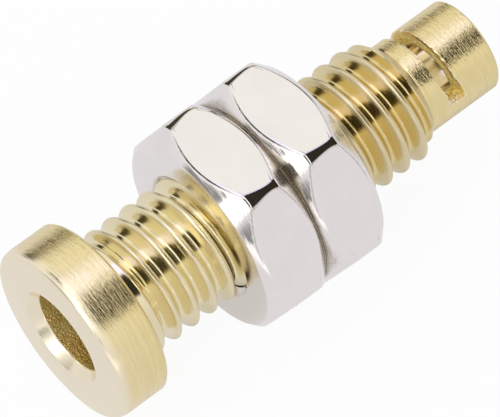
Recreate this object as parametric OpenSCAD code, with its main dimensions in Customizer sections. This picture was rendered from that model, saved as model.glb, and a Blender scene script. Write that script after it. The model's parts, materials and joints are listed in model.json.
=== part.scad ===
// Panel socket for a 4 mm banana plug: a turned brass body with two hex nuts on its thread.
// Lengths in millimetres. The axis runs along Y, from the mouth (-Y) to the solder tail (+Y).
// The origin is on the axis, in the plane where the flange seats on a panel.

/* [Flange] */
// Diameter of the flange
flange_d = 8.7; // [7.5:0.1:12]
// Thickness of the flange
flange_t = 2.5; // [1.5:0.1:4]
// Radius of the flange's front edge
flange_edge_r = 0.3; // [0.1:0.05:0.6]
// Chamfer on the flange's back edge
flange_chamfer = 0.15; // [0.05:0.05:0.4]

/* [Thread] */
// Outside diameter of the thread
thread_d = 6; // [5.6:0.1:7]
// Advance of the thread in one turn
pitch = 1; // [0.75:0.05:1.25]
// Length of the threaded shank behind the flange
thread_len = 16.75; // [14:0.25:24]
// Plain shank next to the flange, where the thread has run out
plain_len = 0.4; // [0.2:0.1:1]
// Length over which the groove reaches its full depth
runout_len = 0.8; // [0.4:0.1:1.5]
// Depth of the thread as a share of its pitch
thread_form = 0.58; // [0.4:0.01:0.61]
// Turn of the whole thread about the axis
thread_turn = 94; // [0:1:359]

/* [Plug bore] */
// Diameter of the bore that takes the plug
bore_d = 4; // [3:0.1:4.4]
// Width of the countersink at the mouth
mouth_d = 4.75; // [4.5:0.05:6]
// Depth of the countersink at the mouth
mouth_depth = 0.45; // [0.2:0.05:0.8]
// Solid wall between the plug bore and the solder cup
end_wall = 0.9; // [0.4:0.1:2]

/* [Solder tail] */
// Diameter of the tail
tail_d = 4.6; // [3.8:0.1:4.8]
// Length of the tail behind the thread
tail_len = 3.9; // [3.2:0.1:8]
// Chamfer on the end of the tail
tail_chamfer = 0.12; // [0.05:0.01:0.3]
// Diameter of the solder cup
cup_d = 2.8; // [1.5:0.1:3.2]
// Depth of the solder cup's wall from the end of the tail
cup_depth = 4.7; // [3.6:0.1:6]
// Width of the saw cut across the tail
slot_w = 0.7; // [0.4:0.05:1.2]
// Depth of the saw cut from the top of the tail
slot_depth = 2; // [1.2:0.1:3]
// Distance of the saw cut's middle from the end of the tail
slot_from_end = 2.7; // [1.5:0.1:3]

/* [Nuts] */
// Width of a nut across its flats
nut_af = 9.7; // [8:0.1:12]
// Thickness of a nut
nut_t = 3.3; // [2:0.1:5]
// Chamfer of a nut's faces, measured at the middle of a flat
nut_chamfer = 0.25; // [0.1:0.05:0.6]
// Radius of a nut's six corners
nut_corner_r = 0.6; // [0.1:0.05:0.8]
// Gap all round between the crests of the thread and a nut's hole
nut_clearance = 0.05; // [0.02:0.01:0.1]
// Chamfer at both ends of a nut's hole
nut_hole_chamfer = 0.15; // [0.1:0.05:0.5]
// Room for the panel, from the flange to the front nut
panel_gap = 5.3; // [1:0.1:8]

/* [Hidden] */
$fn = 64;

body_end = thread_len + tail_len;
tail_r = tail_d / 2;
// A drill leaves a cone of 118 degrees at the bottom of its hole
drill_slope = tan(31);
cup_bottom = body_end - cup_depth;
bore_bottom = cup_bottom - drill_slope * cup_d / 2 - end_wall - drill_slope * bore_d / 2;
// Cutting shapes run this far past the faces they cut
overrun = 1;

// A crest is an eighth of the pitch wide, and a root a quarter
crest_half = pitch / 16;
root_half = pitch / 8;
thread_depth = thread_form * pitch;
// One turn of the thread has a row of points at each edge of its crest and of its root
row_at = [-crest_half, crest_half, pitch / 2 - root_half, pitch / 2 + root_half];
row_depth = [0, 0, thread_depth, thread_depth];
rows_per_turn = len(row_at);
thread_sides = 32;
// The threaded solid starts inside the flange, and its end bevel runs on this far inside the tail
thread_start = -0.8 * flange_t;
thread_sink = 0.4;
turns = ceil((thread_len + thread_sink - thread_start) / pitch) + 3;
thread_rows = turns * rows_per_turn;

// Position along the axis of one point of the thread, at a row and an angle
function thread_y(row, angle) =
    thread_start + pitch * (floor(row / rows_per_turn) + angle / 360) + row_at[row % rows_per_turn];

// Share of the groove's full depth: none on the plain shank, all of it past the run-out
function groove_share(y) = min(1, max(0, (y - plain_len) / runout_len));

function thread_r(row, y) = thread_d / 2 - row_depth[row % rows_per_turn] * groove_share(y);

function thread_point(row, side) =
    let (angle = side * 360 / thread_sides, y = thread_y(row, angle), r = thread_r(row, y))
    [r * cos(angle), r * sin(angle), y];

// Number of a point in the list; past the last side a row carries on as the row one turn up
function point_number(row, side) =
    side < thread_sides ? row * thread_sides + side
                        : (row + rows_per_turn) * thread_sides + side - thread_sides;

// Points round one open end: along a row for a full turn, then back down the step at the first side
function end_loop(row) =
    concat([for (side = [0:thread_sides]) point_number(row, side)],
           [for (k = [rows_per_turn - 1:-1:1]) point_number(row + k, 0)]);

// Bar with a right-hand screw thread, as one closed surface wound along the helix
module threaded_bar() {
    last_row = thread_rows - rows_per_turn - 1;
    rim = [for (row = [0:thread_rows - 1], side = [0:thread_sides - 1]) thread_point(row, side)];
    hubs = [[0, 0, thread_start], [0, 0, thread_y(last_row, 180)]];
    start_loop = end_loop(0);
    stop_loop = end_loop(last_row);
    wall = [for (row = [0:last_row - 1], side = [0:thread_sides - 1], half = [0, 1])
        half == 0
            ? [point_number(row, side), point_number(row + 1, side), point_number(row + 1, side + 1)]
            : [point_number(row, side), point_number(row + 1, side + 1), point_number(row, side + 1)]];
    start_cap = [for (k = [0:len(start_loop) - 1])
        [len(rim), start_loop[k], start_loop[(k + 1) % len(start_loop)]]];
    stop_cap = [for (k = [0:len(stop_loop) - 1])
        [len(rim) + 1, stop_loop[(k + 1) % len(stop_loop)], stop_loop[k]]];
    polyhedron(points = concat(rim, hubs), faces = concat(wall, start_cap, stop_cap));
}

// Turns a shape drawn along Z onto the socket's axis, with the shape's -Y upwards
module on_axis() {
    rotate([-90, 0, 0]) children();
}

module flange_profile() {
    flange_r = flange_d / 2;
    translate([0, -flange_t]) square([flange_r - flange_edge_r, flange_t - flange_chamfer]);
    translate([0, flange_edge_r - flange_t])
        square([flange_r, flange_t - flange_edge_r - flange_chamfer]);
    translate([flange_r - flange_edge_r, flange_edge_r - flange_t]) circle(flange_edge_r);
    polygon([[0, -flange_chamfer], [flange_r, -flange_chamfer], [flange_r - flange_chamfer, 0], [0, 0]]);
}

// Half section that keeps the threaded bar up to the 45 degree bevel at the end of the thread
module bevel_profile() {
    outer_r = thread_d / 2 + overrun;
    sunk_r = tail_r - thread_sink;
    polygon([
        [0, thread_start - overrun],
        [outer_r, thread_start - overrun],
        [outer_r, thread_len + tail_r - outer_r],
        [sunk_r, thread_len + thread_sink],
        [0, thread_len + thread_sink]
    ]);
}

module tail_profile() {
    bevel_start = thread_len + tail_r - thread_d / 2;
    polygon([
        [0, bevel_start],
        [tail_r, bevel_start],
        [tail_r, body_end - tail_chamfer],
        [tail_r - tail_chamfer, body_end],
        [0, body_end]
    ]);
}

// Half section of the drilled plug bore with its countersunk mouth
module bore_profile() {
    mouth_slope = (mouth_d - bore_d) / 2 / mouth_depth;
    polygon([
        [0, -flange_t - overrun],
        [mouth_d / 2 + mouth_slope * overrun, -flange_t - overrun],
        [bore_d / 2, mouth_depth - flange_t],
        [bore_d / 2, bore_bottom],
        [0, bore_bottom + drill_slope * bore_d / 2]
    ]);
}

// Half section of the solder cup drilled from the end of the tail
module cup_profile() {
    polygon([
        [0, cup_bottom - drill_slope * cup_d / 2],
        [cup_d / 2, cup_bottom],
        [cup_d / 2, body_end + overrun],
        [0, body_end + overrun]
    ]);
}

// Saw cut across the top of the tail, open into the solder cup
module saw_cut() {
    translate([-tail_d, slot_depth - tail_d / 2 - 2 * tail_d, body_end - slot_from_end - slot_w / 2])
        cube([2 * tail_d, 2 * tail_d, slot_w]);
}

module socket_body() {
    color("palegoldenrod") on_axis() difference() {
        union() {
            rotate_extrude() flange_profile();
            intersection() {
                rotate(thread_turn) threaded_bar();
                rotate_extrude() bevel_profile();
            }
            rotate_extrude() tail_profile();
        }
        rotate_extrude() bore_profile();
        rotate_extrude() cup_profile();
        saw_cut();
    }
}

// Hexagon with a corner on X, its corners rounded by circles that touch both flats
module hexagon() {
    corner_at = (nut_af / 2 - nut_corner_r) / cos(30);
    polygon([for (k = [0:5], turn = [-30, 30])
        let (angle = 60 * k)
        [corner_at * cos(angle) + nut_corner_r * cos(angle + turn),
         corner_at * sin(angle) + nut_corner_r * sin(angle + turn)]]);
    for (k = [0:5]) rotate(60 * k) translate([corner_at, 0]) circle(nut_corner_r);
}

// Outline of the turned chamfers at both faces of a nut
module nut_chamfer_profile() {
    face_r = nut_af / 2 - nut_chamfer;
    polygon([
        [0, 0],
        [face_r, 0],
        [face_r + nut_t / 2, nut_t / 2],
        [face_r, nut_t],
        [0, nut_t]
    ]);
}

// Half section of a nut's hole, clear of the thread's crests
module nut_hole_profile() {
    hole_r = thread_d / 2 + nut_clearance;
    wide_r = hole_r + nut_hole_chamfer + overrun;
    polygon([
        [0, -overrun],
        [wide_r, -overrun],
        [hole_r, nut_hole_chamfer],
        [hole_r, nut_t - nut_hole_chamfer],
        [wide_r, nut_t + overrun],
        [0, nut_t + overrun]
    ]);
}

module hex_nut() {
    difference() {
        intersection() {
            linear_extrude(nut_t) hexagon();
            rotate_extrude() nut_chamfer_profile();
        }
        rotate_extrude() nut_hole_profile();
    }
}

module front_nut() {
    color("gainsboro") on_axis() translate([0, 0, panel_gap]) hex_nut();
}

// Locks the front nut, so it lies against its back face
module rear_nut() {
    color("gainsboro") on_axis() translate([0, 0, panel_gap + nut_t]) hex_nut();
}

socket_body();
front_nut();
rear_nut();
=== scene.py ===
import json

import bpy
import numpy as np
from mathutils import Matrix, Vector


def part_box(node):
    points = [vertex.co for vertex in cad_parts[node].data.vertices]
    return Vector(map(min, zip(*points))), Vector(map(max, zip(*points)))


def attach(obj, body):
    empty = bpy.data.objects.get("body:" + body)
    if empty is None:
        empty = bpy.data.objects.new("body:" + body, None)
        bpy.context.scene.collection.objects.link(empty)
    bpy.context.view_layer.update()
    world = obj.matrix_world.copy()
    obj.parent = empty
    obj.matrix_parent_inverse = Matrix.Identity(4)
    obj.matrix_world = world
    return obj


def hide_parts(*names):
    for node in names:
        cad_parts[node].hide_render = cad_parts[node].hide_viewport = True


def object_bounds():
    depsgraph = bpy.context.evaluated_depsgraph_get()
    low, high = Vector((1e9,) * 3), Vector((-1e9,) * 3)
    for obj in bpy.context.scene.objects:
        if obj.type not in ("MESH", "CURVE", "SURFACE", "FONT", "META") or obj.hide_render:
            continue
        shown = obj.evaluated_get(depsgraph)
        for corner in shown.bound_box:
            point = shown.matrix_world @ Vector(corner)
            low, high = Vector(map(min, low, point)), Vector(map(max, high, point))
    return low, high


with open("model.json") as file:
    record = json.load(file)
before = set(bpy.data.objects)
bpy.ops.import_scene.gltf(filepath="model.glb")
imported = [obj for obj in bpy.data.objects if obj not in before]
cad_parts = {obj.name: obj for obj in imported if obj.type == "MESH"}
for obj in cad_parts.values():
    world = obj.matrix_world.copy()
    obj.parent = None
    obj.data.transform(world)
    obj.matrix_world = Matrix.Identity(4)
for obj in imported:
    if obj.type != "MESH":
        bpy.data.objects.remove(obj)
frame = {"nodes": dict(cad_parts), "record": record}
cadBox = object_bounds()
mm = 0.001  # lengths below are millimetres, and become metres where Blender takes them
slack = 1e-6  # for comparing lengths
cameraTurn = 29.5  # the side that faces the camera, in degrees from the top towards +X
mounts = {m["name"]: m["dims"] for m in frame["record"]["mounts"]}
print("frame:", ", ".join(sorted(frame["nodes"])))


# Shapes

def boxOf(node):
    low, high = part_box(node)
    return np.array(low) / mm, np.array(high) / mm


def onAxis(radius, along, turn):
    # x = radius sin(turn), y = along, z = radius cos(turn): turn goes from the top towards +X
    x, y, z = np.broadcast_arrays(radius * np.sin(turn), along, radius * np.cos(turn))
    return np.stack([x, y, z], axis=-1)


def pairs(a, b):
    # Two numbers side by side at each point of a grid
    return np.stack(np.broadcast_arrays(a, b), axis=-1)


def lengthAlong(points):
    # Distance from the first point of a path to each of its points
    return np.concatenate([[0], np.cumsum(np.linalg.norm(np.diff(points, axis=0), axis=1))])


def softPath(corners, softness, steps=6):
    # A corner p between two lines becomes (1-t)^2 a + 2t(1-t) p + t^2 b, with a and b on its lines,
    # softness away. A softness is one length, or two where the lines differ
    back = np.roll(corners, 1, axis=0) - corners
    ahead = np.roll(corners, -1, axis=0) - corners
    back = back / np.linalg.norm(back, axis=-1, keepdims=True)
    ahead = ahead / np.linalg.norm(ahead, axis=-1, keepdims=True)
    reach = np.array([np.broadcast_to(s, 2) for s in softness], float)[:, :, None, None]
    a = (corners + reach[:, 0] * back)[:, None]
    b = (corners + reach[:, 1] * ahead)[:, None]
    p = corners[:, None]
    t = np.linspace(0, 1, steps)[None, :, None, None]
    curves = (1 - t) ** 2 * a + 2 * t * (1 - t) * p + t**2 * b
    wanted = (reach[:, 0, 0] > 0) | (np.arange(steps)[None, :] == 0)  # a sharp corner is one row
    return curves[wanted]


def smoothMin(a, b, width):
    # The smaller of two values, with a rounded change-over where they are within width of each other
    near = np.clip(width - np.abs(a - b), 0, None) / width
    return np.minimum(a, b) - near**2 * width / 4


def sheet(points, uv, keep=None, **shares):
    # One grid of points, its map in millimetres, which of its faces are kept,
    # and values that its material reads
    return {"points": points, "uv": uv, "keep": keep, "shares": shares}


def gridQuads(rows, cols, keep):
    # The faces of a grid, by the numbers of their points
    i, j = np.meshgrid(np.arange(rows - 1), np.arange(cols - 1), indexing="ij")
    corner = i * cols + j
    quads = np.stack([corner, corner + 1, corner + cols + 1, corner + cols], axis=-1)
    return quads.reshape(-1, 4) if keep is None else quads[keep]


def meshPiece(name, sheets, sharpAngle=30, weldStep=1e-4, weldShift=0.37):
    # Sheets are joined where their points share a cell of weldStep; the shift keeps round numbers
    # off the cells' edges. What shrinks to a line or a point there is left out
    shapes = [s["points"].shape[:2] for s in sheets]
    starts = np.cumsum([0] + [rows * cols for rows, cols in shapes])
    points = np.concatenate([s["points"].reshape(-1, 3) for s in sheets])
    uv = np.concatenate([s["uv"].reshape(-1, 2) for s in sheets])
    quads = np.concatenate([
        gridQuads(*shape, s["keep"]) + start for s, shape, start in zip(sheets, shapes, starts)
    ])
    corners = np.concatenate([quads[:, [0, 1, 2]], quads[:, [0, 2, 3]]])
    cells = np.floor(points / weldStep + weldShift).astype(np.int64)
    _, first, same = np.unique(cells, axis=0, return_index=True, return_inverse=True)
    triangles = same.reshape(-1)[corners]
    solid = (triangles != np.roll(triangles, 1, axis=1)).all(axis=1)
    corners, triangles, vertices = corners[solid], triangles[solid], points[first]
    a, b, c = (vertices[triangles[:, k]] for k in range(3))
    if np.einsum("ij,ij->", a, np.cross(b, c)) < 0:  # faces point outwards
        corners, triangles = corners[:, ::-1], triangles[:, ::-1]
    mesh = bpy.data.meshes.new(name)
    mesh.from_pydata((vertices * mm).tolist(), [], triangles.tolist())
    mesh.uv_layers.new(name="surface").data.foreach_set("uv", uv[corners].astype(np.float32).ravel())
    for share in sorted({key for s in sheets for key in s["shares"]}):
        values = np.concatenate([
            np.broadcast_to(s["shares"].get(share, 0.0), shape).ravel() for s, shape in zip(sheets, shapes)
        ])
        layer = mesh.attributes.new(share, "FLOAT", "POINT")
        layer.data.foreach_set("value", values[first].astype(np.float32))
    mesh.polygons.foreach_set("use_smooth", np.ones(len(triangles), bool))
    mesh.set_sharp_from_angle(angle=np.radians(sharpAngle))
    mesh.update()
    piece = bpy.data.objects.new(name, mesh)
    bpy.context.scene.collection.objects.link(piece)
    print(f"{name}: {len(vertices)} points, {len(triangles)} triangles")
    return piece


# Turned brass body

body = {
    # Flange and bore: the front edge is soft over two lengths, on the face and on the side,
    # and the face's finish fades out faceFade times the second one down the side
    "flangeEdge": (0.3, 0.55), "faceFade": 1.2, "flangeChamfer": 0.15, "chamferSoft": 0.05,
    "mouthRadius": 2.375, "mouthDepth": 0.45, "mouthSoft": 0.02, "boreSoft": 0.06, "drillSoft": 0.05,
    "drillSlope": np.tan(np.radians(31)),
    # Thread: widths of crest and root as shares of the pitch
    "pitch": 1.0, "threadDepth": 0.58, "crest": 0.18, "root": 0.2, "crestRound": 0.08,
    "threadStart": -2.0, "threadTurn": 184, "plain": 0.4, "runOut": 0.8, "bevelRound": 0.08,
    # Solder tail and its cup, with a painted highlight of two pale stripes
    "tailRadius": 2.3, "tailChamfer": 0.12, "tailSoft": 0.05, "cupChamfer": 0.1, "cupSoft": 0.04,
    "cupPatch": 0.62, "patchWidth": 0.28, "cutView": np.radians(cameraTurn),
    # Saw cut: shares of x by which its near and far walls lean, and how far before and after it that
    # fades out; a hook over the last part of its way; and the far wall's lean inside
    "slotWidth": 0.7, "slotDepth": 2.0, "slotFromEnd": 2.7,
    "slotLean": (0.02, 0.07), "leanFade": (0.7, 0.3), "slotHook": 0.19, "hookFrom": 0.76, "slotTaper": 0.11,
    # Its rim: the distance to the next rows, how far it is sunk, how far it wanders,
    # and how much of the wandering holds for its depth and for its two ends
    "rim": 0.06, "rimDrop": 0.025, "dropVary": 0.5, "ragged": 0.03, "endRagged": 0.5,
    "wanderStep": 2, "seed": 5,
    # Points of the grids; a pitch has its crest, flank and root rows from one share of it to another
    "columns": 168, "edgeRows": 10, "leadRows": 8, "cutRows": 13, "liningRows": 9, "sharpAngle": 34,
    "crestRows": (-0.11, 0.11, 7), "flankRows": (0.16, 0.28, 3), "rootRows": (0.335, 0.665, 7),
}
bodyLow, bodyHigh = boxOf("socket_body")
body["flangeRadius"], body["front"], body["end"] = bodyHigh[0], bodyLow[1], bodyHigh[1]
body["boreRadius"], body["boreLength"] = mounts["plug_bore"]["r_mm"], mounts["plug_bore"]["length_mm"]
body["cupRadius"], body["cupDepth"] = mounts["solder_cup"]["r_mm"], mounts["solder_cup"]["length_mm"]
body["shankRadius"] = mounts["shank_thread"]["r_mm"]
body["threadLength"] = mounts["shank_thread"]["length_mm"]
body["slotLow"] = body["end"] - body["slotFromEnd"] - body["slotWidth"] / 2
body["slotHigh"] = body["slotLow"] + body["slotWidth"]
body["cutHeight"] = body["tailRadius"] - body["slotDepth"]  # the saw cut's flat bottom, above the axis


def bodyTurns():
    # Columns go once round from one end of the saw cut; two of them lie on its ends
    half = np.arccos(body["cutHeight"] / body["tailRadius"])
    inside = round(body["columns"] * half / np.pi)
    over = np.linspace(-half, half, inside, endpoint=False)
    under = np.linspace(half, 2 * np.pi - half, body["columns"] - inside + 1)
    return np.concatenate([over, under]), inside


def lathePart(rows, turns, **shares):
    # Each row of a (radius, along) path goes once round the axis;
    # the map's second number is the path's length
    radius, along = rows[:, :1], rows[:, 1:]
    uv = pairs(turns * body["shankRadius"], lengthAlong(rows)[:, None])
    return sheet(onAxis(radius, along, turns), uv, **shares)


def flangeSheet(turns):
    # Half section from the drilled bottom of the bore, out of its mouth and over the flange to the shank
    b = body
    boreEnd = b["front"] + b["mouthDepth"] + b["boreLength"]
    corners = np.array([
        [0, boreEnd + b["drillSlope"] * b["boreRadius"]],
        [b["boreRadius"], boreEnd],
        [b["boreRadius"], b["front"] + b["mouthDepth"]],
        [b["mouthRadius"], b["front"]],
        [b["flangeRadius"], b["front"]],
        [b["flangeRadius"], -b["flangeChamfer"]],
        [b["flangeRadius"] - b["flangeChamfer"], 0],
        [b["shankRadius"], 0],
    ])[:, None]
    holeSoft = [0, b["drillSoft"], b["boreSoft"], b["mouthSoft"]]
    soft = [*holeSoft, b["flangeEdge"], b["chamferSoft"], b["chamferSoft"], 0]
    rows = softPath(corners, soft, b["edgeRows"])[:, 0]
    radius, along = rows[:, :1], rows[:, 1:]
    inBore = (radius < b["boreRadius"] + slack).astype(float)
    # The face, the countersink and the front edge are smoother than the turned side
    edge = b["flangeEdge"][1]
    fade = np.clip((b["front"] + b["faceFade"] * edge - along) / edge, 0, 1)
    onFace = np.where((radius < b["mouthRadius"]) & (inBore == 0), 1.0, fade * (inBore == 0))
    return lathePart(rows, turns, boreShare=inBore, faceShare=onFace)


def rampSum(t):
    # Area under a line that is 0 up to t = 0, rises to 1 at t = 1 and stays there
    return np.clip(t, 0, 1) ** 2 / 2 + np.clip(t - 1, 0, None)


def helixRows(turns, low, high):
    # Rows follow the helix: along = start + pitch (h + turn / 360), held between low and high.
    # groove is 0 on a crest and 1 on a root, with a straight flank between them,
    # averaged over a short stretch so that both are round
    b = body
    keys = ("crestRows", "flankRows", "rootRows")
    crestRows, flankRows, rootRows = (np.linspace(*b[key]) for key in keys)
    phases = np.concatenate([crestRows, flankRows, rootRows, 1 - flankRows[::-1]])
    lift = (turns - np.radians(b["threadTurn"])) / (2 * np.pi)
    first = np.floor((low - b["threadStart"]) / b["pitch"] - lift.max())
    last = np.ceil((high - b["threadStart"]) / b["pitch"] - lift.min())
    h = (np.arange(first, last)[:, None] + phases[None, :]).reshape(-1, 1)
    along = np.clip(b["threadStart"] + b["pitch"] * (h + lift), low, high)
    crestHalf = b["crest"] * b["pitch"] / 2
    flank = b["pitch"] / 2 - crestHalf - b["root"] * b["pitch"] / 2
    offCrest = np.abs(h - np.round(h)) * b["pitch"]
    share, spread = (offCrest - crestHalf) / flank, b["crestRound"] / flank
    groove = (rampSum(share + spread) - rampSum(share - spread)) / (2 * spread)
    return h, along, groove


def threadSheet(turns):
    # radius = shank - depth x groove, less towards the flange, and cut by the bevel at the end
    b = body
    h, along, groove = helixRows(turns, 0, b["threadLength"])
    deep = np.clip((along - b["plain"]) / b["runOut"], 0, 1)
    radius = b["shankRadius"] - b["threadDepth"] * groove * deep
    radius = smoothMin(radius, b["tailRadius"] + b["threadLength"] - along, b["bevelRound"])
    uv = pairs(turns * b["shankRadius"], h * b["pitch"])
    shares = {"threadShare": 1.0, "rootShare": groove * deep, "crestShare": (1 - groove) * deep}
    return sheet(onAxis(radius, along, turns), uv, **shares)


def tailPath():
    # Half section along the tail, over its end face and down the cup to the drilled bottom.
    # The saw cut's rows are in it twice: on the outer wall from lowRow on,
    # and on the inner one from innerHigh on
    b = body
    cutRows = np.linspace(b["slotLow"], b["slotHigh"], b["cutRows"])
    lead = np.linspace(b["threadLength"], b["slotLow"] - b["rim"], b["leadRows"])
    outerAlong = np.concatenate([lead, cutRows, [b["slotHigh"] + b["rim"]]])
    cupBottom = b["end"] - b["cupDepth"]
    ends = softPath(np.array([
        [b["tailRadius"], b["slotHigh"] + 2 * b["rim"]],
        [b["tailRadius"], b["end"] - b["tailChamfer"]],
        [b["tailRadius"] - b["tailChamfer"], b["end"]],
        [b["cupRadius"] + b["cupChamfer"], b["end"]],
        [b["cupRadius"], b["end"] - b["cupChamfer"]],
        [b["cupRadius"], b["slotHigh"] + 2 * b["slotTaper"]],
    ])[:, None], [0, b["tailSoft"], b["tailSoft"], b["cupSoft"], b["cupSoft"], 0])[:, 0]
    bottom = np.array([
        [b["cupRadius"], b["slotLow"] - b["rim"]],
        [b["cupRadius"], cupBottom],
        [0, cupBottom - b["drillSlope"] * b["cupRadius"]],
    ])
    outer, inner = pairs(b["tailRadius"], outerAlong), pairs(b["cupRadius"], cutRows[::-1])
    lowRow, innerHigh = len(lead), len(outer) + len(ends)
    return np.concatenate([outer, ends, inner, bottom]), lowRow, innerHigh


def cutLean(across, along):
    # Shift along the axis: a share of x that grows from the near wall to the far one,
    # and an eased hook towards the end where the saw left at +X
    b = body
    hook = np.clip((across / b["tailRadius"] - b["hookFrom"]) / (1 - b["hookFrom"]), 0, 1)
    lean = across * np.interp(along, [b["slotLow"], b["slotHigh"]], b["slotLean"])
    return lean + b["slotHook"] * hook**2 * (3 - 2 * hook)


def wanderOver(rng, count):
    # Random numbers from -1 to 1 every wanderStep points, with straight lines between them
    knots = np.arange(0, count + body["wanderStep"], body["wanderStep"])
    return np.interp(np.arange(count), knots, rng.uniform(-1, 1, len(knots)))


def raggedRim(rows, turns, lean, lowRow, highRow, inside):
    # The saw leaves a ragged, dulled edge: the window's rim is sunk, and wanders away from the cut
    b = body
    rng = np.random.default_rng(b["seed"])
    wander = wanderOver(rng, len(turns))[None, :] + wanderOver(rng, len(rows))[:, None]
    away = np.abs(b["ragged"] * wander)
    onWalls, onEnds = np.zeros(wander.shape), np.zeros(wander.shape)
    onWalls[lowRow], onWalls[highRow] = -1, 1
    onEnds[lowRow:highRow + 1, 0], onEnds[lowRow:highRow + 1, inside] = -1, 1
    radius = b["tailRadius"] - b["rimDrop"] * (1 + b["dropVary"] * wander)
    turnShift = onEnds * b["endRagged"] * away / b["tailRadius"]
    return onAxis(radius, rows[:, 1:] + lean + onWalls * away, turns + turnShift)


def liningSheet(points, turns, lean, lowRow, innerHigh, inside):
    # Straight from the outer rim to the inner one, all round the window
    b = body
    last = b["cutRows"] - 1
    goRows = np.concatenate([
        np.full(inside, 0), np.arange(last), np.full(inside, last), np.arange(last, -1, -1),
    ])
    goCols = np.concatenate([
        np.arange(inside), np.full(last, inside), np.arange(inside, 0, -1), np.zeros(last + 1, int),
    ])
    outerRim = points[lowRow + goRows, goCols]
    innerRim = points[innerHigh + last - goRows, goCols]
    depth = np.linspace(0, 1, b["liningRows"])[:, None]
    lining = outerRim * (1 - depth[:, :, None]) + innerRim * depth[:, :, None]
    # Below the ragged rim the walls are straight again
    straightAlong = b["slotLow"] + b["slotWidth"] * goRows / last + lean[lowRow + goRows, goCols]
    straight = onAxis(b["tailRadius"] - b["rimDrop"], straightAlong, turns[goCols])
    lining[1:-1] += (straight - outerRim) * (1 - depth[1:-1, :, None])
    uv = pairs(lengthAlong(straight), depth * (b["tailRadius"] - b["cupRadius"]))
    sawn, burr = np.minimum(1.0, 2 * depth), (depth == 0).astype(float)
    return sheet(lining, uv, cutShare=1.0, sawShare=sawn, burrShare=burr)


def tailSheets(turns, inside):
    # Tail, end face and cup are one sheet; the saw cut is a window through both walls,
    # and a second sheet lines it
    b = body
    rows, lowRow, innerHigh = tailPath()
    highRow = lowRow + b["cutRows"] - 1
    radius, along = rows[:, :1], rows[:, 1:]
    inCup = radius < b["cupRadius"] + b["cupChamfer"] + slack
    # Inside the cup the columns are turned a little, so that the same two lie on the cut's ends there too
    half, innerHalf = turns[inside], np.arccos(b["cutHeight"] / b["cupRadius"])
    cutEnds = [[-side, side, 2 * np.pi - side] for side in (half, innerHalf)]
    ownTurns = np.where(inCup, np.interp(turns, *cutEnds), turns)
    tail = lathePart(rows, ownTurns, cutShare=inCup.astype(float))
    points = tail["points"]
    # Painted highlight: two pale stripes along the cup's floor, as seen through the cut, in place of light
    # mirrored there
    aside = points[..., 0] * np.cos(b["cutView"]) - points[..., 2] * np.sin(b["cutView"])
    stripes = np.exp(-(((np.abs(aside) - b["cupPatch"]) / b["patchWidth"]) ** 2))
    tail["shares"]["paleShare"] = stripes * inCup
    # The cut's walls lean, and the rows before and after them follow less and less
    lean = cutLean(radius * np.sin(ownTurns), along)
    before, after = b["leanFade"]
    cutLow, cutHigh = b["slotLow"] - b["rim"], b["slotHigh"] + 2 * b["rim"]
    nearCut = [b["slotLow"] - before, cutLow, cutHigh, b["end"] - after]
    points[..., 1] += lean * np.interp(along, nearCut, [0, 1, 1, 0])
    points[innerHigh, :, 1] += b["slotTaper"]
    rim = np.zeros(points.shape[:2], bool)
    rim[[lowRow, highRow], :inside + 1] = True
    rim[lowRow:highRow + 1, [0, inside]] = True
    points[rim] = raggedRim(rows, turns, lean, lowRow, highRow, inside)[rim]
    points[lowRow:highRow + 1, -1] = points[lowRow:highRow + 1, 0]  # the last column is the first one again
    tail["shares"]["burrShare"] = rim.astype(float)
    cut = np.zeros(len(rows) - 1, bool)
    cut[lowRow:highRow] = True
    cut[innerHigh:innerHigh + b["cutRows"] - 1] = True
    tail["keep"] = np.ones((len(rows) - 1, len(turns) - 1), bool)
    tail["keep"][cut, :inside] = False
    return [tail, liningSheet(points, turns, lean, lowRow, innerHigh, inside)]


def makeBody():
    turns, inside = bodyTurns()
    sheets = [flangeSheet(turns), threadSheet(turns), *tailSheets(turns, inside)]
    return meshPiece("turned_body", sheets, body["sharpAngle"])


# Plated hex nuts

nut = {
    "chamfer": 0.25, "faceSoft": 0.06, "edgeSoft": 0.15,
    "holeGap": 0.05, "holeChamfer": 0.15, "mouthSoft": 0.04, "ridge": 0.5,
    # Each corner is a low arch: its radius, how it blends into the flats and how far from the corner it is
    # sought; its width, and how much wider each nut's is at the front and both are at the back
    "arch": 1.8, "archBlend": 0.008, "archEnd": np.radians(9),
    "corner": 0.27, "flareFrontNut": 0.45, "flareRearNut": 0.25, "flareBack": 0.15,
    "frontPower": 2, "backPower": 8,
    # Painted shade on the chamfers' edges and the corners' creases: dark outlines in place of the dark
    # surroundings that the plating mirrors, with the distance over which they fade;
    # they are stronger near one corner, and fade away from one side, near the top
    "edgeWear": 0.7, "edgeReach": 0.12, "creaseWear": 1.3, "creaseReach": 0.06,
    "cornerTurn": np.radians(32), "cornerPower": 6, "wearMore": 0.35,
    "wearTurn": np.radians(-10), "wearShare": 0.5,
    # Painted shade on the chamfer next to the other nut, darkening the groove between them: its reach from
    # the face, and more near that corner
    "dirtReach": 0.15, "dirtMore": 0.3,
    # Points of the grid; columns in degrees from a corner
    "flatRows": 14, "edgeRows": 7, "meetRounds": 6, "sharpAngle": 38,
    "closeColumns": (0, 5, 30), "nextColumns": (6, 7.5, 9), "flatColumns": 13,
}
nut["hole"] = body["shankRadius"] + nut["holeGap"]
nut["mouth"] = nut["hole"] + nut["holeChamfer"]
sixth, halfSixth = np.pi / 3, np.pi / 6  # from a corner to the next one, and to the flat's middle


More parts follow.
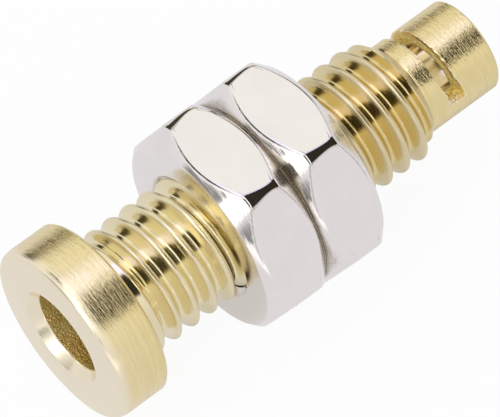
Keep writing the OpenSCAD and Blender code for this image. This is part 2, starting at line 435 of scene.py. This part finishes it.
def hexRadius(turn, half, width):
    # Distance from the axis to a hexagon whose flats face the top.
    # Each corner is blunted by a low arch, width across, that meets both flats at a small angle
    offFlat = np.mod(turn + halfSixth, sixth) - halfSixth
    offCorner = halfSixth - np.abs(offFlat)
    flat = half / np.cos(offFlat)
    shoulder = half / np.cos(halfSixth) - width / 2 * np.tan(halfSixth)
    centre = shoulder - np.sqrt(nut["arch"]**2 - width**2 / 4)
    inArch = np.clip(nut["arch"]**2 - (centre * np.sin(offCorner))**2, 0, None)
    arch = centre * np.cos(offCorner) + np.sqrt(inArch)
    return np.where(offCorner < nut["archEnd"], smoothMin(flat, arch, nut["archBlend"]), flat)


def nutTurns():
    # Close columns at the corners, 30 + 60 k degrees from the top, and wider ones on the flats
    close, beside = np.linspace(*nut["closeColumns"]), np.array(nut["nextColumns"])
    wide = np.linspace(beside[-1], 60 - beside[-1], nut["flatColumns"])[1:-1]
    columns = np.concatenate([-close[:0:-1], close, beside, wide, 60 - beside[::-1]])
    turns = (30 + columns[None, :] + 60 * np.arange(6)[:, None]).reshape(-1)
    return np.radians(np.append(turns, turns[0] + 360))


def nutShell(turns, low, high, flare, shadedFace):
    # Half section at each turn: hole, face, 45 degree chamfer up to the hexagon, flat, and back.
    # The corners widen towards the front by flare, and a little at the back.
    # Painted shade, darkening the groove between the nuts, lies on the chamfer at the face given by the
    # last argument, 0 for the front and 1 for the back:
    # most at the face, none further out
    n = nut
    half, thick = high[2], high[1] - low[1]
    face = half - n["chamfer"]
    reach = half / np.cos(halfSixth) - face

    def cornerAt(along):
        share = np.clip((along - reach) / (thick - 2 * reach), 0, 1)
        atFront, atBack = (1 - share) ** n["frontPower"], share ** n["backPower"]
        return n["corner"] + flare * atFront + n["flareBack"] * atBack

    def ring(radius, along):
        return pairs(np.broadcast_to(radius, turns.shape), along)

    # Where the chamfers' cones meet the hexagon, found by a few rounds of substitution
    frontEdge = backEdge = np.full_like(turns, n["chamfer"])
    for _ in range(n["meetRounds"]):
        frontEdge = hexRadius(turns, half, cornerAt(frontEdge)) - face
        backEdge = hexRadius(turns, half, cornerAt(thick - backEdge)) - face
    steps = np.linspace(0, 1, n["flatRows"])[1:-1]
    flatAlong = [frontEdge + (thick - backEdge - frontEdge) * t for t in steps]
    corners = np.stack([
        ring(n["hole"], n["holeChamfer"]), ring(n["mouth"], 0),
        ring(face, 0), ring(face + frontEdge, frontEdge),
        *(ring(hexRadius(turns, half, cornerAt(along)), along) for along in flatAlong),
        ring(face + backEdge, thick - backEdge), ring(face, thick),
        ring(n["mouth"], thick), ring(n["hole"], thick - n["holeChamfer"]),
    ])
    ends = [0, n["mouthSoft"], n["faceSoft"], n["edgeSoft"]]
    rows = softPath(corners, [*ends, *(0 for _ in steps), *ends[::-1]], n["edgeRows"])
    radius, along = rows[..., 0], rows[..., 1]
    inner = np.minimum(along - frontEdge, thick - backEdge - along)  # above 0 on the hexagon's sides
    # Painted shade: dark outlines along the chamfers' edges and the corners' creases, stronger near one
    # corner and towards the top
    nearCorner = np.clip(np.cos(turns - n["cornerTurn"]), 0, 1) ** n["cornerPower"]
    edge = np.clip(1 - np.abs(inner) / n["edgeReach"], 0, 1) * (radius > face)
    edge = (n["edgeWear"] + n["wearMore"] * nearCorner) * edge
    across = radius * np.sin(np.abs(np.mod(turns, sixth) - halfSixth))
    crease = n["creaseWear"] - np.abs(across - cornerAt(along) / 2) / n["creaseReach"]
    edge = np.maximum(edge, np.clip(crease, 0, 1) * (inner > 0))
    edge = edge * np.clip(n["wearShare"] + np.cos(turns - n["wearTurn"]), 0, 1)
    chamfer = ((inner < 0) & (radius > face)).astype(float)
    # Painted shade: the chamfer facing the other nut is darkened, most at the face and near one corner
    nearFace = np.abs(along - shadedFace * thick) < thick / 2
    dirtReach = n["dirtReach"] + n["dirtMore"] * nearCorner
    dirt = chamfer * nearFace * np.clip(1 - (radius - face) / dirtReach, 0, 1)
    onFace = (radius <= face).astype(float)
    shares = {"edgeShare": edge, "chamferShare": chamfer, "faceShare": onFace, "dirtShare": dirt}
    return sheet(onAxis(radius, low[1] + along, turns), pairs(turns * half, along), **shares)


def nutThread(turns, low, high):
    # Ridges stand in the body's groove, and a cone at each face trims them
    h, along, groove = helixRows(turns, low[1] + nut["holeChamfer"], high[1] - nut["holeChamfer"])
    cone = nut["mouth"] - np.minimum(along - low[1], high[1] - along)
    radius = np.maximum(nut["hole"] - nut["ridge"] * groove, cone)
    return sheet(onAxis(radius, along, turns), pairs(turns * nut["hole"], h))


def makeNut(name, node, flare, shadedFace):
    turns, (low, high) = nutTurns(), boxOf(node)
    sheets = [nutShell(turns, low, high, flare, shadedFace), nutThread(turns, low, high)]
    return meshPiece(name, sheets, nut["sharpAngle"])


# Shaders

noiseMean = 0.5


class Wire:
    # One output of a node; sums, differences and products of wires add Math nodes
    def __init__(self, tree, end=None):
        self.tree, self.end = tree, end

    def node(self, kind, settings=None, inputs=None, output=0):  # a list of outputs gives a list of wires
        made = self.tree.nodes.new(kind)
        for name, value in (settings or {}).items():
            setattr(made, name, value)
        for name, value in (inputs or {}).items():
            if isinstance(value, Wire):
                self.tree.links.new(value.end, made.inputs[name])
            else:
                made.inputs[name].default_value = value
        if isinstance(output, list):
            return [Wire(self.tree, made.outputs[key]) for key in output]
        return Wire(self.tree, made.outputs[output]) if made.outputs else made

    def maths(self, operation, *values):
        return self.node("ShaderNodeMath", {"operation": operation}, dict(enumerate(values)))

    def __add__(self, other):
        return self.maths("ADD", self, other)

    def __sub__(self, other):
        return self.maths("SUBTRACT", self, other)

    def __rsub__(self, other):
        return self.maths("SUBTRACT", other, self)

    def __mul__(self, other):
        return self.maths("MULTIPLY", self, other)

    __radd__, __rmul__ = __add__, __mul__

    def larger(self, other):
        return self.maths("MAXIMUM", self, other)

    def size(self):
        return self.maths("ABSOLUTE", self)

    def between(self, low, high, start=0.0, end=1.0):  # eases from start at low to end at high
        settings = {"interpolation_type": "SMOOTHSTEP"}
        inputs = {"Value": self, "From Min": low, "From Max": high, "To Min": start, "To Max": end}
        return self.node("ShaderNodeMapRange", settings, inputs)

    def mixed(self, a, b):  # colour a where this value is 0, b where it is 1
        return self.node("ShaderNodeMix", {"data_type": "RGBA"}, {0: self, 6: a, 7: b}, 2)

    def times(self, factors):  # each part of a vector by its own factor
        return self.node("ShaderNodeVectorMath", {"operation": "MULTIPLY"}, {0: self, 1: factors})

    def noise(self, fineness, detail, roughness):  # fineness in waves per millimetre along each direction
        inputs = {"Vector": self.times(fineness), "Scale": 1.0, "Detail": detail, "Roughness": roughness}
        return self.node("ShaderNodeTexNoise", {}, inputs)

    def parts(self, *keys):  # the named parts of a vector, 0 for x to 2 for z
        return self.node("ShaderNodeSeparateXYZ", {}, {0: self}, list(keys))

    def bump(self):  # this value as a height in millimetres
        return self.node("ShaderNodeBump", {}, {"Height": self, "Distance": mm, "Strength": 1.0})


def newMaterial(name):
    material = bpy.data.materials.new(name)
    material.use_nodes = True
    tree = material.node_tree
    shader = next(n for n in tree.nodes if n.type == "BSDF_PRINCIPLED")
    return material, Wire(tree), shader


def surfaceMaps(wire, *names):
    # The piece's own map and place, both in millimetres, and the named shares of its surface
    uv = wire.node("ShaderNodeUVMap", {"uv_map": "surface"})
    place = wire.node("ShaderNodeTexCoord", output="Object").times((1 / mm, 1 / mm, 1 / mm))
    settings = [{"attribute_name": name + "Share"} for name in names]
    return uv, place, *(wire.node("ShaderNodeAttribute", s, output="Fac") for s in settings)


def emptyTree(owner):
    owner.use_nodes = True
    owner.node_tree.nodes.clear()
    return Wire(owner.node_tree)


def feed(shader, **values):
    names = {"colour": "Base Color", "roughness": "Roughness", "metallic": "Metallic", "normal": "Normal"}
    for key, value in values.items():
        socket = shader.inputs[names[key]]
        if isinstance(value, Wire):
            value.tree.links.new(value.end, socket)
        else:
            socket.default_value = value


brass = {
    "face": (0.93, 0.84, 0.63, 1), "turned": (0.87, 0.74, 0.39, 1), "streak": (0.83, 0.69, 0.33, 1),
    # The thread's second colours, used behind the nuts, are painted shade
    "crest": (0.85, 0.76, 0.50, 1), "crestBehind": (0.77, 0.67, 0.41, 1),
    "root": (0.87, 0.78, 0.50, 1), "rootBehind": (0.77, 0.63, 0.30, 1),
    # The burr colour on the cut's rim is partly fresh-cut metal and partly a painted highlight
    "saw": (1.0, 0.94, 0.52, 1), "sawBrown": (0.86, 0.69, 0.25, 1), "burr": (1.0, 0.95, 0.78, 1),
    "bore": (1.0, 0.91, 0.53, 1), "boreBrown": (1.0, 0.80, 0.37, 1),
    "cupBrown": (0.84, 0.70, 0.40, 1), "cupPale": (0.97, 0.92, 0.78, 1),
    "turnedRough": 0.23, "faceRough": 0.22, "rootRough": 0.13, "crestRough": 0.28,
    "cutRough": 0.15, "sawRough": 1.0, "boreRough": 0.34, "roughVary": 0.08,
    # Heights in millimetres; the turning is lines and finer ones, and little of it is on the face
    "lineHeight": 0.060, "markHeight": 0.020, "sawHeight": 0.14, "boreHeight": 0.028,
    "lineShare": 0.6, "fineShare": 0.4, "faceLines": 0.06,
    # Noises: fineness, detail and roughness
    "lines": ((0.5, 7.0, 1), 3, 0.65), "fine": ((2.8, 16.0, 1), 2, 0.6), "marks": ((0.2, 16.0, 1), 2, 0.5),
    "grain": ((8, 8, 8), 3, 0.6), "cloud": ((0.6, 0.6, 0.6), 2, 0.5), "patches": ((1.3, 1.3, 1.3), 2, 0.5),
    # Values between which one colour or roughness goes over into the next
    "streakFade": (0.35, 0.65), "behindFade": (8.0, 13.0), "rootFade": (0.15, 1.0), "scuffFade": (0.5, 0.9),
    "sawFade": (0.35, 0.62), "burrFade": (0.3, 0.6), "boreFade": (0.35, 0.65),
    "cupFade": (0.35, 0.85), "cupStripes": 0.8, "cupPatches": 0.6,
}


def brassMaterial():
    b = brass
    material, wire, shader = newMaterial("turned_brass")
    uv, place, thread, root, crest, face, cut, saw, bore, pale, burr = surfaceMaps(
        wire, "thread", "root", "crest", "face", "cut", "saw", "bore", "pale", "burr")
    lines, fine, marks = (uv.noise(*b[key]) for key in ("lines", "fine", "marks"))
    grain, cloud, patches = (place.noise(*b[key]) for key in ("grain", "cloud", "patches"))
    plain = (1 - thread) * (1 - cut) * (1 - bore) * (1 - face)
    turning = (lines * b["lineShare"] + fine * b["fineShare"]) * (plain + face * b["faceLines"])
    height = turning * b["lineHeight"] + marks * crest * b["markHeight"]
    height = height + grain * (saw * b["sawHeight"] + bore * b["boreHeight"])
    # Painted shade: behind the nuts the thread's colour is a deeper, darker gold, for the light that the
    # nuts keep off it
    nutShade = place.parts(1)[0].between(*b["behindFade"])
    crestColour, rootColour = (nutShade.mixed(b[key], b[key + "Behind"]) for key in ("crest", "root"))
    threadColour = root.between(*b["rootFade"]).mixed(crestColour, rootColour)
    # Painted highlight: the cup's pale stripes, together with paler random patches
    striped = pale * b["cupStripes"] + patches * b["cupPatches"]
    cup = striped.between(*b["cupFade"]).mixed(b["cupBrown"], b["cupPale"])
    sawn = grain.between(*b["sawFade"]).mixed(b["sawBrown"], b["saw"])
    drilled = patches.between(*b["boreFade"]).mixed(b["boreBrown"], b["bore"])
    colour = lines.between(*b["streakFade"]).mixed(b["streak"], b["turned"])
    for part, over in ((face, b["face"]), (thread, threadColour), (cut, cup), (saw, sawn), (bore, drilled)):
        colour = part.mixed(colour, over)
    # The ragged rim is paler: partly fresh-cut metal, partly a painted highlight
    colour = (burr * grain.between(*b["burrFade"])).mixed(colour, b["burr"])
    threadRough = crest.between(*b["scuffFade"], b["rootRough"], b["crestRough"])  # crests are scuffed
    roughness = b["turnedRough"]
    for part, value in ((face, b["faceRough"]), (thread, threadRough), (cut * (1 - saw), b["cutRough"]),
                        (saw, b["sawRough"]), (bore, b["boreRough"])):
        roughness = part * (value - b["turnedRough"]) + roughness
    roughness = roughness + (cloud - noiseMean) * b["roughVary"]
    feed(shader, colour=colour, roughness=roughness, metallic=1.0, normal=height.bump())
    return material


nickel = {
    "clear": (0.885, 0.85, 0.808, 1), "grey": (0.855, 0.82, 0.783, 1),
    # The next two colours are painted shade: dark outlines along the edges, and brown in the groove between
    # the nuts
    "worn": (0.34, 0.31, 0.27, 1), "dirt": (0.22, 0.18, 0.11, 1),
    "rough": 0.07, "chamferRough": 0.09, "faceRough": 0.17, "roughVary": 0.04,
    "peelHeight": 0.0012, "scrapeHeight": 0.009,
    # Noises: fineness, detail and roughness
    "cloud": ((0.5, 0.5, 0.5), 3, 0.6), "peel": ((1.6, 1.6, 1.6), 2, 0.5), "specks": ((5, 5, 5), 3, 0.6),
    "scrapes": ((0.6, 9.0, 1), 2, 0.6),
    # Values between which one colour goes over into the next, how far it goes,
    # and how much noise breaks it up
    "greyFade": (0.3, 0.7), "wornFade": (0.45, 1.0), "wornMost": 0.6, "wornNoise": 0.5,
    "dirtFade": (0.25, 0.9), "dirtMost": 0.85, "dirtNoise": 0.3,
}


def nickelMaterial():
    n = nickel
    material, wire, shader = newMaterial("nickel_plate")
    uv, place, edge, chamfer, face, dirt = surfaceMaps(wire, "edge", "chamfer", "face", "dirt")
    cloud, peel, specks = (place.noise(*n[key]) for key in ("cloud", "peel", "specks"))
    scrapes = uv.noise(*n["scrapes"])
    height = peel * n["peelHeight"] + scrapes * chamfer * n["scrapeHeight"]
    colour = cloud.between(*n["greyFade"]).mixed(n["clear"], n["grey"])
    # Painted shade: dark outlines along the edges, for mirrored dark surroundings, and a darkened groove
    # between the nuts
    worn = (edge + (specks - noiseMean) * n["wornNoise"]).between(*n["wornFade"])
    colour = (worn * n["wornMost"]).mixed(colour, n["worn"])
    # Painted shade in the groove between the nuts
    shadedGroove = (dirt + (specks + scrapes - 2 * noiseMean) * n["dirtNoise"]).between(*n["dirtFade"])
    colour = (shadedGroove * n["dirtMost"]).mixed(colour, n["dirt"])
    roughness = n["rough"] + (cloud - noiseMean) * n["roughVary"]
    roughness = roughness + chamfer * (n["chamferRough"] - n["rough"])
    roughness = roughness + face * (n["faceRough"] - n["rough"])
    feed(shader, colour=colour, roughness=roughness, metallic=1.0, normal=height.bump())
    return material


def dress(piece, material, bodyName, node):
    piece.data.materials.append(material)
    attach(piece, bodyName)
    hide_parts(node)


brassSkin, nickelSkin = brassMaterial(), nickelMaterial()
dress(makeBody(), brassSkin, "socket", "socket_body")
frontNut = makeNut("nut_front", "front_nut", nut["flareFrontNut"], shadedFace=1)
dress(frontNut, nickelSkin, "front_nut", "front_nut")
rearNut = makeNut("nut_rear", "rear_nut", nut["flareRearNut"], shadedFace=0)
dress(rearNut, nickelSkin, "rear_nut", "rear_nut")
print("pieces dressed")


# Studio

studio = {
    # The room goes from the horizon's colour to the top's, which is full from the height topFrom on
    "white": (1, 1, 1, 1),
    "top": (1.0, 0.985, 0.975, 1), "horizon": (0.84, 0.825, 0.865, 1), "topFrom": 0.75,
    # Floor: what metal mirrors of it, with a painted pool of light towards the front right and a painted
    # shadow right under the nuts
    "floorSize": 1500, "floorMatt": (0.95, 0.95, 0.95, 1), "floorGlow": 0.94,
    "floorMirrored": (0.83, 0.815, 0.85, 1),
    "floorFront": (1.25, 1.23, 1.25, 1), "frontX": (12, 35), "frontY": (-22, -2),
    "floorUnder": (0.69, 0.67, 0.65, 1), "underLeft": (-7, -2), "underRight": (1.5, 4), "underY": (0, 3),
    # Windows of light and shade, each by its middle and half width both ways and its soft edge, in degrees.
    # Round the socket's axis: turn from the top towards +X, reach towards the tail.
    # Round the upright: turn from the front (-Y) towards +X, reach upwards.
    # A later one covers those before it
    "windows": [
        # A bright strip along the top, and two dark ones that outline the nuts' upper flats
        {"about": "axis", "turn": (-10, 12), "reach": (19, 30), "edge": 6, "level": (1.25, 1.26, 2.05, 1)},
        {"about": "axis", "turn": (-30, 14), "reach": (-17, 6), "edge": 2, "level": (0.10, 0.09, 0.08, 1)},
        {"about": "axis", "turn": (-58, 14), "reach": (55, 7), "edge": 3, "level": (0.10, 0.09, 0.08, 1)},
        # A bright one in front for the chamfers, with a dark spot in it
        {"about": "axis", "turn": (14, 30), "reach": (-30, 36), "edge": 6, "level": (1.55, 1.53, 1.58, 1)},
        {"about": "axis", "turn": (29.5, 12), "reach": (-19, 7), "edge": 4, "level": (0.12, 0.11, 0.10, 1)},
        # The dark band along the side that faces the camera, with warm strips at both of its edges
        {"about": "axis", "turn": (27, 22), "reach": (36, 36), "edge": 2.5,
         "level": (0.03, 0.026, 0.019, 1)},
        {"about": "axis", "turn": (10, 6), "reach": (30, 6), "edge": 2.5, "level": (0.38, 0.28, 0.08, 1)},
        {"about": "axis", "turn": (47, 4), "reach": (30, 6), "edge": 2.5, "level": (0.38, 0.28, 0.08, 1)},
        # The narrow dark band along the far side, with a warm strip
        {"about": "axis", "turn": (-82, 12), "reach": (19, 30), "edge": 4, "level": (0.06, 0.05, 0.03, 1)},
        {"about": "axis", "turn": (-82, 12), "reach": (30, 6), "edge": 3, "level": (0.42, 0.34, 0.14, 1)},
        # Two grey screens and a lamp in front
        {"about": "upright", "turn": (-20, 18), "reach": (16, 9), "edge": 4,
         "level": (0.28, 0.27, 0.27, 1)},
        {"about": "upright", "turn": (27, 9), "reach": (2, 8), "edge": 4, "level": (0.3, 0.29, 0.29, 1)},
        {"about": "upright", "turn": (7, 7), "reach": (22, 14), "edge": 3, "level": (3.2, 3.2, 3.2, 1)},
    ],
}


def makeWorld():
    # The camera sees white, and everything else is lit by the windows
    world = bpy.data.worlds.new("studio")
    bpy.context.scene.world = world
    wire = emptyTree(world)
    x, y, z = wire.node("ShaderNodeTexCoord").parts(0, 1, 2)
    degree = 180 / np.pi
    places = {
        "axis": (x.maths("ARCTAN2", x, z) * degree, y.maths("ARCSINE", y) * degree),
        "upright": (x.maths("ARCTAN2", x, 0 - y) * degree, z.maths("ARCSINE", z) * degree),
    }
    light = z.between(0.0, studio["topFrom"]).mixed(studio["horizon"], studio["top"])
    for window in studio["windows"]:
        edge = window["edge"]
        masks = []
        for place, (middle, half) in zip(places[window["about"]], (window["turn"], window["reach"])):
            masks.append((place - middle).size().between(half - edge, half + edge, 1.0, 0.0))
        light = (masks[0] * masks[1]).mixed(light, window["level"])
    seen = wire.node("ShaderNodeLightPath", output="Is Camera Ray")
    inputs = {"Color": seen.mixed(light, studio["white"]), "Strength": 1.0}
    background = wire.node("ShaderNodeBackground", {}, inputs)
    wire.node("ShaderNodeOutputWorld", {}, {"Surface": background})


def rising(place, limits):
    # 0 below the first limit and 1 above the second, both in millimetres
    return place.between(limits[0] * mm, limits[1] * mm)


def falling(place, limits):
    return place.between(limits[0] * mm, limits[1] * mm, 1.0, 0.0)


def floorSurface(wire):
    # White to the camera apart from the shadow, and toned where metal mirrors it, with a painted pool of
    # light and a painted shadow in that
    s = studio
    rays = ["Is Camera Ray", "Is Glossy Ray", "Is Transmission Ray"]
    seen, glossy, through = wire.node("ShaderNodeLightPath", output=rays)
    mirrored = glossy.larger(through)
    x, y = wire.node("ShaderNodeTexCoord", output="Object").parts(0, 1)
    # Painted light and shade in what metal mirrors: a pool of light at the front right and a shadow under
    # the nuts
    front = rising(x, s["frontX"]) * falling(y, s["frontY"])
    under = rising(x, s["underLeft"]) * falling(x, s["underRight"]) * rising(y, s["underY"])
    shown = under.mixed(front.mixed(s["floorMirrored"], s["floorFront"]), s["floorUnder"])
    matt = wire.node("ShaderNodeBsdfDiffuse", {}, {"Color": s["floorMatt"]})
    inputs = {"Color": mirrored.mixed(s["white"], shown), "Strength": 1.0}
    white = wire.node("ShaderNodeEmission", {}, inputs)
    glow = seen.larger(mirrored) * s["floorGlow"]
    return wire.node("ShaderNodeMixShader", {}, {0: glow, 1: matt, 2: white})


def makeFloor():
    across = np.linspace(-studio["floorSize"], studio["floorSize"], 3)
    x, y = np.meshgrid(across, across, indexing="ij")
    points = np.stack([x, y, np.full_like(x, cadBox[0].z / mm)], axis=-1)
    floor = meshPiece("floor", [sheet(points, points[..., :2])])
    material = bpy.data.materials.new("floor")
    wire = emptyTree(material)
    wire.node("ShaderNodeOutputMaterial", {}, {"Surface": floorSurface(wire)})
    floor.data.materials.append(material)


makeWorld()
makeFloor()
print("studio lit")


# Camera, from the socket's place in the 500 x 417 frame

view = {
    "frame": (500, 417), "pixelsPerMm": 23.2, "mouthAt": (60.53, 337.98),
    "lean": 71.1, "roll": 36.01, "turn": cameraTurn,  # degrees
    "distance": 301.7, "sensor": 36.0, "clip": (10, 10000),
}


def makeCamera():
    # The camera stands on the side at turn, leans towards the mouth and rolls about its line of sight
    lean, roll, turn = np.radians([view["lean"], view["roll"], view["turn"]])
    axis = np.array([0, 1, 0])
    over = np.array([np.sin(turn), 0, np.cos(turn)])  # from the axis towards the camera
    aside = np.array([np.cos(turn), 0, -np.sin(turn)])
    towards = np.sin(lean) * over - np.cos(lean) * axis
    along = np.sin(lean) * axis + np.cos(lean) * over
    right = np.cos(roll) * along + np.sin(roll) * aside
    up = np.sin(roll) * along - np.cos(roll) * aside
    width, height = view["frame"]
    offRight = (width / 2 - view["mouthAt"][0]) / view["pixelsPerMm"]
    offUp = (view["mouthAt"][1] - height / 2) / view["pixelsPerMm"]
    target = np.array([0, body["front"], 0]) + offRight * right + offUp * up
    data = bpy.data.cameras.new("camera")
    data.sensor_fit, data.sensor_width = "HORIZONTAL", view["sensor"]
    data.lens = view["sensor"] * view["distance"] * view["pixelsPerMm"] / width
    data.clip_start, data.clip_end = (length * mm for length in view["clip"])
    camera = bpy.data.objects.new("camera", data)
    place = np.eye(4)
    place[:3, :3] = np.stack([right, up, towards], axis=1)
    place[:3, 3] = (target + view["distance"] * towards) * mm
    camera.matrix_world = Matrix(place.tolist())
    bpy.context.scene.collection.objects.link(camera)
    bpy.context.scene.camera = camera


makeCamera()
bpy.context.scene.view_settings.view_transform = "Standard"
print("camera set")
